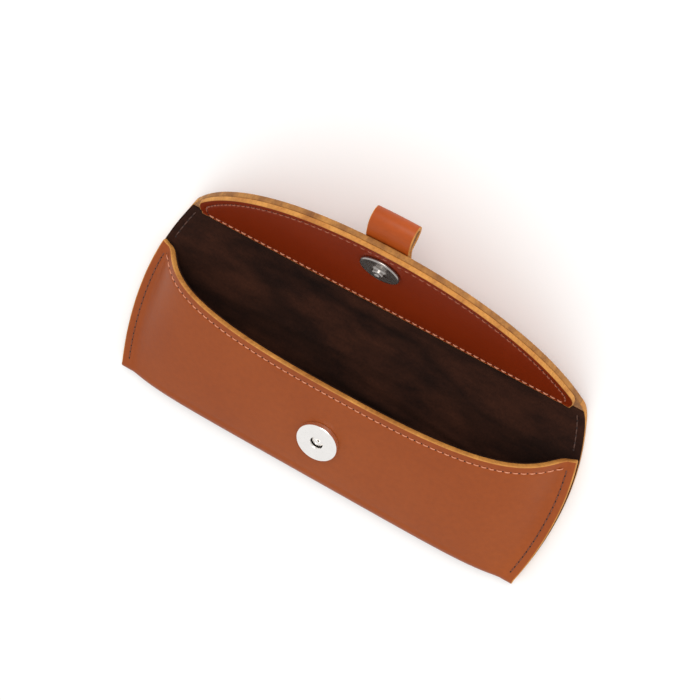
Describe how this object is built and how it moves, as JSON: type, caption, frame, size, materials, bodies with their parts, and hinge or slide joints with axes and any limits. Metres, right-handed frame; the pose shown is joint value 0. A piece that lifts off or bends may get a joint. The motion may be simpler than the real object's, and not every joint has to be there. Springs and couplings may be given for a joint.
{
  "type": "eyeglasses case",
  "caption": "Open pouch case of folded leather for eyeglasses, suede lined, with a rounded flap that folds over the mouth, a round magnetic snap and a loop pull tab.",
  "frame": {"origin": "middle of the back panel's flat outer face, on the mirror plane and 30 mm from the bottom fold", "axes": "+X along the case, +Y from the bottom fold towards the flap, +Z out of the back panel's inner face; the case lies on its back and the mirror plane is X = 0"},
  "size_m": [0.19, 0.1311, 0.0438],
  "materials": {
    "outer_leather": "smooth satin orange-brown leather with ochre cut edges",
    "facing_leather": "smooth satin red-brown leather with ochre cut edges",
    "tab_leather": "smooth satin orange-brown leather",
    "suede": "dark brown napped suede",
    "thread": "waxed tan thread",
    "nickel": "polished nickel",
    "steel": "plain",
    "magnet": "dark"
  },
  "bodies": {
    "pouch": {"back_panel": "outer_leather", "front_panel": "outer_leather", "back_lining": "suede", "front_lining": "suede", "left_seam_thread": "thread", "right_seam_thread": "thread", "mouth_thread": "thread", "socket_cap": "nickel", "socket_magnet": "magnet", "socket_prongs": "steel", "socket_backplate": "steel"},
    "bridge": {"bridge_panel": "outer_leather", "bridge_lining": "suede", "facing_base": "facing_leather", "facing_edge_thread": "thread", "bridge_thread": "thread"},
    "flap": {"flap_panel": "outer_leather", "flap_facing": "facing_leather", "flap_edge_thread": "thread", "snap_stud": "nickel", "stud_prongs": "steel", "stud_backplate": "steel", "pull_tab": "tab_leather", "tab_thread": "thread"}
  },
  "joints": [
    {"name": "bridge_fold", "type": "hinge", "parent": "pouch", "child": "bridge", "pos_m": [0, 0.0305, 0.0029], "axis": [1, 0, 0], "range_deg": [0, 102.8]},
    {"name": "flap_fold", "type": "hinge", "parent": "bridge", "child": "flap", "pos_m": [0, 0.05617, 0.01521], "axis": [1, 0, 0], "range_deg": [-30, 44.4]}
  ]
}
